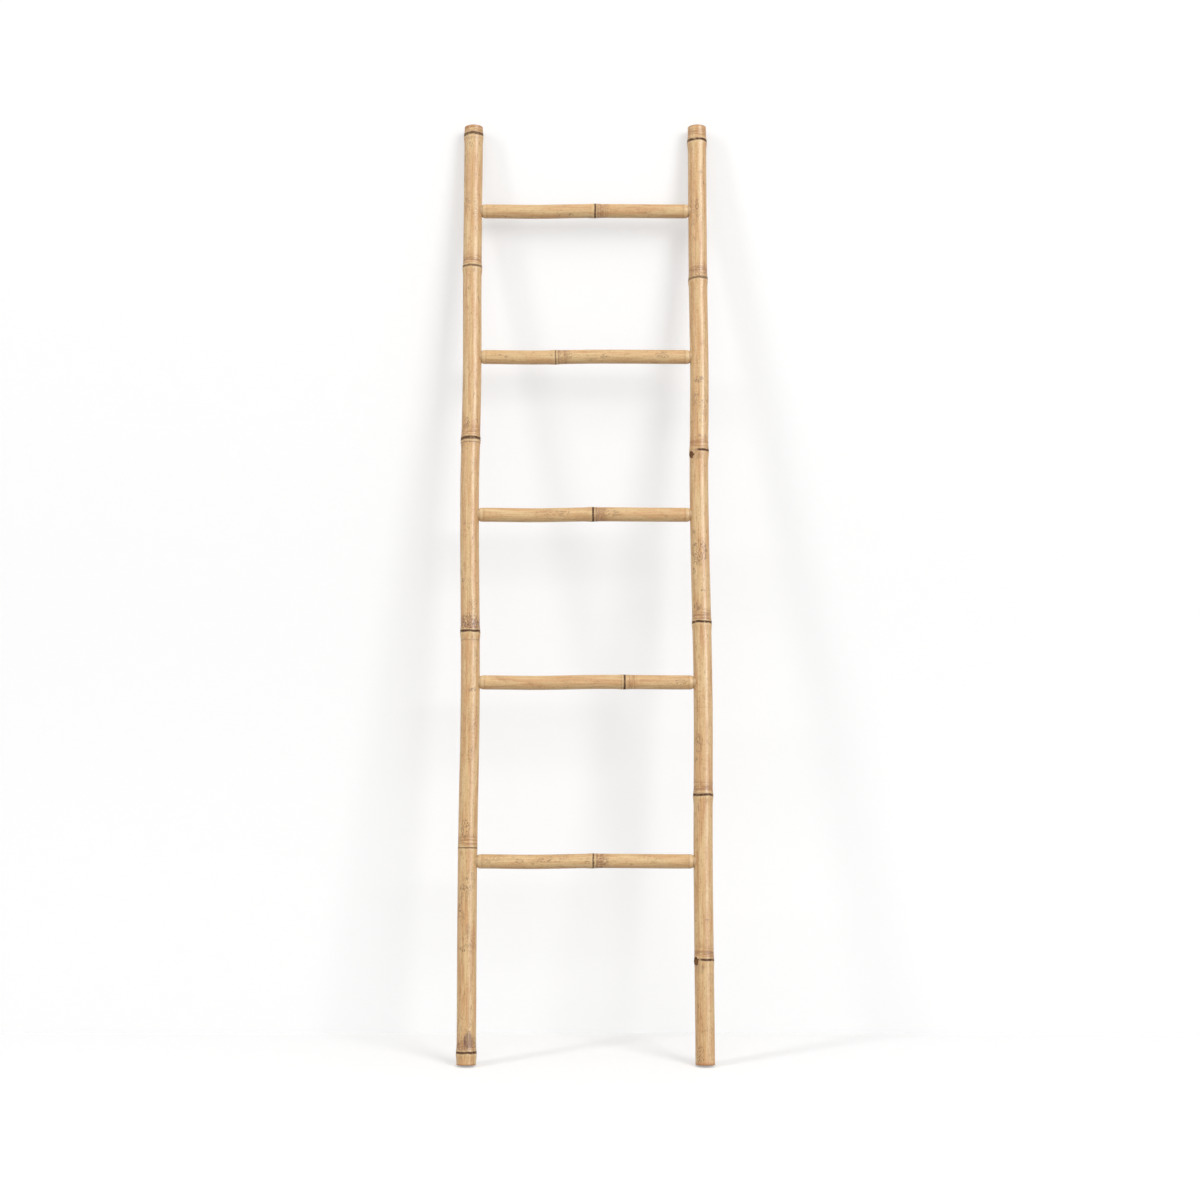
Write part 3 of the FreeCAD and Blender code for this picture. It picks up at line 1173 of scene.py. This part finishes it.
@dataclass(frozen=True)
class CutBamboo:
    """Sawn bamboo: straw flesh dotted with brown fibre bundles that crowd towards the skin."""

    name: str = "sawn bamboo"
    radius: float = POLE_RADIUS
    wall: float = POLE_WALL
    flesh: str = "#dcb981"
    bundle: str = "#8f6337"
    rind: str = "#a3763f"
    lining: str = "#e3cda0"
    bundle_cell: float = 1.4
    roughness: float = 0.72
    relief: float = 0.5

    def material(self) -> Material:
        """Build the finish.

        Returns:
            The material.
        """
        made, tree, spot = start_finish(self.name)
        put = partial(add, tree)
        flat = put("VectorMath", spot, (1.0, 1.0, 0.02), operation="MULTIPLY")
        reach = put("VectorMath", spot, (1.0, 1.0, 0.0), operation="MULTIPLY")
        reach = put("VectorMath", reach, operation="LENGTH").outputs["Value"]
        # Fibre bundles are about 0.4 mm across, and are drawn on wider cells so that they show
        bundles = put("TexVoronoi", {"Vector": flat, "Scale": 1 / self.bundle_cell})
        inner = self.radius - self.wall
        crowd = put("MapRange", reach, inner, self.radius - 1, 0.16, 0.52)
        dot = put("Math", crowd, bundles, operation="SUBTRACT")
        dot = put("MapRange", dot, -0.06, 0.1, 0.0, 0.85)
        rim = put("MapRange", reach, self.radius - 1.6, self.radius - 0.5, 0.0, 0.8)
        hollow = put("MapRange", reach, inner + 0.3, inner + 0.05)
        # The hollow's lining has strands of 1.6 mm by 40 mm
        strands = put("VectorMath", spot, (1 / 1.6, 1 / 1.6, 1 / 40), operation="MULTIPLY")
        strands = put("TexNoise", {"Vector": strands, "Scale": 1.0, "Detail": 3.0})
        grey = put("MapRange", strands, 0.45, 0.75, 0.0, 0.5)
        lining = lay_coats(tree, self.lining, (grey, self.rind))
        colour = lay_coats(tree, self.flesh, (dot, self.bundle), (rim, self.rind), (hollow, lining))
        height = put("Math", strands, dot, operation="ADD")
        bump = put("Bump", {"Strength": self.relief, "Distance": 0.3 * MM, "Height": height})
        feed(tree, tree.nodes["Principled BSDF"], {
            "Base Color": colour, "Roughness": self.roughness, "IOR": WOOD_IOR, "Normal": bump,
        })
        return made


@dataclass(frozen=True)
class PegWood:
    """Turned hardwood dowel: tan end grain with darker growth rings, pricked with pores, oiled matt."""

    name: str = "turned hardwood dowel"
    early: str = "#b98a5c"
    late: str = "#96683f"
    pore: str = "#5c3d24"
    ring_step: float = 1.1
    heart_distance: float = 9.0
    pore_cell: float = 0.6
    roughness: float = 0.6
    relief: float = 0.4

    def material(self) -> Material:
        """Build the finish.

        Returns:
            The material.
        """
        made, tree, spot = start_finish(self.name)
        put = partial(add, tree)
        # Growth rings are seen as shallow arcs, as the dowel was split far from the tree's heart
        arcs = put("VectorMath", spot, (self.heart_distance, 0.0, 0.0), operation="ADD")
        arcs = put("VectorMath", arcs, (1.0, 1.0, 0.05), operation="MULTIPLY")
        rings = put("TexWave", {
            "Vector": arcs, "Scale": 1 / (self.ring_step * math.pi), "Distortion": 1.2, "Detail": 2.0},
            wave_type="RINGS", rings_direction="Z")
        pores = put("VectorMath", spot, (1.0, 1.0, 0.08), operation="MULTIPLY")
        pores = put("TexVoronoi", {"Vector": pores, "Scale": 1 / self.pore_cell})
        prick = put("MapRange", pores, 0.3, 0.12, 0.0, 0.6)
        colour = lay_coats(tree, self.early, (rings.outputs["Fac"], self.late), (prick, self.pore))
        bump = put("Bump", {"Strength": self.relief, "Distance": 0.1 * MM, "Height": pores})
        feed(tree, tree.nodes["Principled BSDF"], {
            "Base Color": colour, "Roughness": self.roughness, "IOR": WOOD_IOR, "Normal": bump,
        })
        return made


@dataclass(frozen=True)
class StudioWhite:
    """Matt white emulsion of floor and wall, white to the camera but for the ladder's soft shadow."""

    name: str
    glow: float
    paint: float
    foot_glow: float = 0.0
    foot_reach: float = 1.0
    bounce: float = 0.5

    def material(self) -> Material:
        """Build the finish, clear when seen from behind.

        Returns:
            The material.
        """
        made = bpy.data.materials.new(self.name)
        made.use_nodes = True
        tree = made.node_tree
        tree.nodes.remove(tree.nodes["Principled BSDF"])
        put = partial(add, tree)
        plain, painted = (put("BsdfDiffuse", (level, level, level, 1.0))
                          for level in (self.bounce, self.paint))
        # The wall brightens towards the floor, over its lowest metre
        place = put("TexCoord")
        place = put("SeparateXYZ", place.outputs["Object"])
        level = put("MapRange", place.outputs["Z"], 0.0, self.foot_reach, self.glow + self.foot_glow,
                    self.glow, interpolation_type="SMOOTHSTEP")
        glow = put("Emission", {"Strength": level})
        lit = put("AddShader", glow, painted)
        surface = put("MixShader", seen_rays(tree), plain, lit)
        facing = put("NewGeometry")
        clear = put("BsdfTransparent")
        surface = put("MixShader", facing.outputs["Backfacing"], surface, clear)
        feed(tree, tree.nodes["Material Output"], {"Surface": surface})
        return made


@dataclass(frozen=True)
class Lamp:
    """A soft box, by the way it shines from, its distance, width and height, in degrees and metres."""

    name: str
    side_angle: float
    height_angle: float
    distance: float
    width: float
    height: float
    power: float
    gloss_only: bool = False

    def build(self, aim: Point) -> Object:
        """Hang the lamp and turn it to its aim.

        Args:
            aim: the point that it shines at.

        Returns:
            The lamp.
        """
        light = bpy.data.lights.new(self.name, "AREA")
        light.shape = "RECTANGLE"
        light.size = self.width
        light.size_y = self.height
        light.energy = self.power
        made = enter(self.name, light)
        side, tip = math.radians(self.side_angle), math.radians(self.height_angle)
        flat = self.distance * math.cos(tip)
        made.location = (aim[0] + flat * math.sin(side), aim[1] - flat * math.cos(side),
                         aim[2] + self.distance * math.sin(tip))
        made.rotation_euler = (QUARTER_TURN - tip, 0.0, side)
        made.visible_diffuse = not self.gloss_only
        LOG.info("%s hung", self.name)
        return made


@dataclass
class Studio:
    """The white floor and wall, the soft boxes and the camera, in metres."""

    wall_place: float
    half_width: float = 6.0
    depth: float = 6.0
    wall_height: float = 5.0
    sky: float = 0.52
    floor_white: StudioWhite = StudioWhite("matt white floor paint", 0.33, 0.8)
    wall_white: StudioWhite = StudioWhite("matt white wall emulsion", 0.42, 0.62, 0.05)
    lamps: tuple[Lamp, ...] = (
        Lamp("key soft box", 38.0, 26.0, 15.0, 5.6, 7.3, 920.0),
        Lamp("fill soft box", -57.5, 30.0, 15.0, 2.2, 7.0, 520.0),
        Lamp("top soft box", 0.0, 62.0, 12.0, 6.0, 4.5, 130.0),
        Lamp("gloss card", 44.0, 19.0, 9.0, 2.8, 6.0, 560.0, True),
    )
    lamp_aim: Point = (0.0, 0.0, 0.8)
    camera_place: Point = (0.0, -3.80363, 0.8546)
    lens: float = 60.08
    sensor: float = 36.0
    # The ladder's middle lies a few pixels left of the picture's
    picture_width: float = 1200.0
    middle_offset: float = 14.5

    @staticmethod
    def sheet(name: str, corners: list[Point], white: StudioWhite) -> Object:
        """Lay one flat sheet of the room and mark it as stage.

        Args:
            name: the sheet's name.
            corners: its corners, anticlockwise as seen from inside the room.
            white: its finish.

        Returns:
            The sheet.
        """
        mesh = bpy.data.meshes.new(name)
        mesh.from_pydata(corners, [], [tuple(range(len(corners)))])
        mesh.materials.append(white.material())
        made = enter(name, mesh)
        made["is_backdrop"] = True
        return made

    def light_sky(self) -> None:
        """Make the world white to the camera, and dimmer to what it lights."""
        world = bpy.data.worlds.new("white room")
        world.use_nodes = True
        bpy.context.scene.world = world
        tree = world.node_tree
        level = add(tree, "MapRange", seen_rays(tree), 0.0, 1.0, self.sky, 1.0)
        feed(tree, tree.nodes["Background"], {"Color": (1.0, 1.0, 1.0, 1.0), "Strength": level})

    def place_camera(self) -> None:
        """Set the camera where the photograph was taken from."""
        camera = bpy.data.cameras.new("camera")
        camera.lens = self.lens
        camera.sensor_width = self.sensor
        camera.shift_x = self.middle_offset / self.picture_width
        seat = enter("camera", camera)
        seat.location = self.camera_place
        seat.rotation_euler = (QUARTER_TURN, 0.0, 0.0)
        bpy.context.scene.camera = seat

    def build(self) -> None:
        """Set the room, the light and the camera."""
        wide, deep, back, high = self.half_width, self.depth, self.wall_place, self.wall_height
        floor = [(-wide, -deep, 0.0), (wide, -deep, 0.0), (wide, deep, 0.0), (-wide, deep, 0.0)]
        wall = [(-wide, back, 0.0), (wide, back, 0.0), (wide, back, high), (-wide, back, high)]
        self.sheet("floor", floor, self.floor_white)
        self.sheet("wall", wall, self.wall_white).visible_shadow = False
        for lamp in self.lamps:
            lamp.build(self.lamp_aim)
        self.light_sky()
        self.place_camera()
        bpy.context.scene.view_settings.view_transform = "Standard"


@dataclass
class TowelLadder:
    """The whole ladder: two poles, five rungs and ten pegs."""

    lean: Lean = field(default_factory=Lean)

    @staticmethod
    def poles() -> tuple[Pole, ...]:
        """List the poles with their rings and marks, the rings from the foot up.

        Returns:
            The left pole and the right one.
        """
        left = (
            Ring(22.7, 3.2, stain=0.5), Ring(394.7, 2.2, 0.7, 0.25),
            Ring(801.0, 3.5, second=-17.0, second_dark=0.35, stain=0.9),
            Ring(1173.4, 4.6, 0.95, second=-8.0, second_dark=0.6),
            Ring(1514.7, 3.4, 0.8, second=12.5, second_dark=0.4),
            Ring(1782.8, 4.3, 0.95, second=-8.6, second_dark=0.2),
        )
        right = (
            Ring(190.1, 3.2, 0.35, 0.5, second=12.6, second_dark=0.3, bud=8.4, bud_turn=-145.0,
                 bud_rise=-2.5),
            Ring(492.8, 3.5, stain=0.2), Ring(818.1, 3.4, stain=0.2),
            Ring(1150.0, 3.5, 0.2, bud=7.6, bud_turn=-143.0, bud_rise=-9.0),
            Ring(1490.6, 3.6, 0.75, tilt=1.2, stain=0.4), Ring(1770.5, 3.8, 1.0, 1.2),
        )
        left_marks = marks_of(
            Trace.SMUDGE, (1771.6, -116, 4, 14, 0.5), (1450.5, -47, 15, 6, 0.45), (1208.7, -52, 5, 8, 0.5),
            (1183.2, -116, 4, 5, 0.6), (892.5, -41, 4, 5, 0.7), (688, -86, 4, 5, 0.6),
            (612.1, -84, 7, 3, 0.5), (244.5, -82, 30, 12, 0.3), (44.1, -74, 40, 24),
        ) + marks_of(
            Trace.SCRIBBLE, (1203, -116, 26, 14), (896.4, -133, 14, 7), (822, -89, 30, 36),
            (690, -70, 12, 18), (429.7, -103, 44, 20), (323, -94, 20, 26), (279, -140, 28, 10),
            (209.1, -108, 10, 20),
        )
        right_marks = marks_of(
            Trace.SMUDGE, (1702.9, -79, 2.4, 22, 0.5), (1256.9, -110, 6, 12, 0.55), (1206.7, -92, 9, 3, 0.6),
            (1177.3, -93, 7, 7, 0.6), (1175.4, -54, 17, 7, 0.65), (468.6, -121, 24, 4.5, 0.7),
            (444.5, -117, 12, 3.5, 0.45), (260.9, -147, 4, 7, 0.6), (262.7, -70, 3, 17, 0.55),
            (203, -50, 8, 26, 0.3), (174, -122, 28, 26, 0.35), (1139, -112, 24, 24, 0.3),
        ) + marks_of(
            Trace.SCAR, (1150, -46, 20, 58), (190.1, -54, 20, 54),
        ) + marks_of(
            Trace.SCRIBBLE, (1636, -100, 30, 10), (1287.5, -96, 18, 22), (1245.1, -56, 12, 18),
            (950, -102, 58, 38), (990.6, -134, 14, 8), (915.6, -137, 14, 9), (876, -77, 9, 15),
            (846.6, -118, 18, 20), (587.7, -119, 44, 18), (18, -122, 40, 18),
        )
        return (
            Pole("left_culm_pole", "left_pole", POLE_RADIUS, left, 1.0, marks=left_marks, side=Side.LEFT),
            Pole("right_culm_pole", "right_pole", POLE_RADIUS, right, 2.0, marks=right_marks,
                 side=Side.RIGHT),
        )

    @staticmethod
    def rungs() -> tuple[Rung, ...]:
        """List the rungs from the floor up, each with its one ring and its marks.

        Returns:
            The rungs.
        """
        rings = (
            Ring(14.9, 2.4, 0.9, stain=0.5), Ring(71.5, 2.8, second=-6.0, second_dark=0.3),
            Ring(16.5, 3.0, second=6.0, second_dark=0.5, stain=0.4),
            Ring(-58.0, 2.0, 0.75, second=6.0, second_dark=0.3, stain=0.3),
            Ring(19.6, 2.8, 0.95, second=5.5, second_dark=0.3, stain=0.2),
        )
        smudges = (
            (), (), (),
            ((-153, -80, 8, 7, 0.6), (-65, -88, 4, 5, 0.6), (130, -25, 16, 6, 0.5)),
            ((-169, -165, 4, 5, 0.7), (-155, -25, 6, 5, 0.7), (-50, -40, 6, 5, 0.5)),
        )
        scribbles = (
            ((-122, -90, 18, 12), (-78, -100, 34, 12), (4, -90, 12, 16), (32, -90, 26, 20)),
            ((178, -90, 26, 14),),
            ((-42, -95, 34, 14), (-188, -90, 8, 9), (46, -95, 44, 18)),
            ((-32, -85, 28, 14), (36, -85, 20, 12), (148, -95, 32, 18)),
            ((-30, -45, 20, 9),),
        )
        return tuple(
            Rung(f"cane_rung_{number}", f"rung_{number}", RUNG_RADIUS, (ring,), 2.0 + number, sides=60,
                 swell=0.85, scar_depth=0.4, slot="rung_bamboo", height=height,
                 marks=marks_of(Trace.SMUDGE, *smudged) + marks_of(Trace.SCRIBBLE, *scribbled))
            for number, (height, ring, smudged, scribbled)
            in enumerate(zip(RUNG_HEIGHTS, rings, smudges, scribbles), start=1)
        )

    def build(self) -> None:
        """Build every piece in its finish."""
        shop = Workshop()
        poles, rungs = self.poles(), self.rungs()
        pole_skin = BambooSkin("dried bamboo culm skin", POLE_RADIUS)
        rung_skin = BambooSkin("dried bamboo cane skin", RUNG_RADIUS, pale="#e3c08b", warm="#d8a975",
                               mottle=0.75, waver=0.5)
        sawn = CutBamboo().material()
        lean = {"Lean": self.lean.turn, "Stand": self.lean.stand}
        for culms, skin in ((poles, pole_skin), (rungs, rung_skin)):
            finishes = {"Skin": skin.material(culms), "Cut Face": sawn}
            for culm in culms:
                culm.build(shop, {**lean, **finishes})
        Pegs().build(shop, {**lean, "Wood": PegWood().material()})


def main() -> None:
    """Load the solids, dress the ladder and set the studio."""
    logging.basicConfig(level=logging.INFO, format="%(name)s: %(message)s")
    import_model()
    solid_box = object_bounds()
    TowelLadder().build()
    Studio(wall_place=solid_box[1][1]).build()
    bpy.context.view_layer.update()


if __name__ == "__main__":
    main()
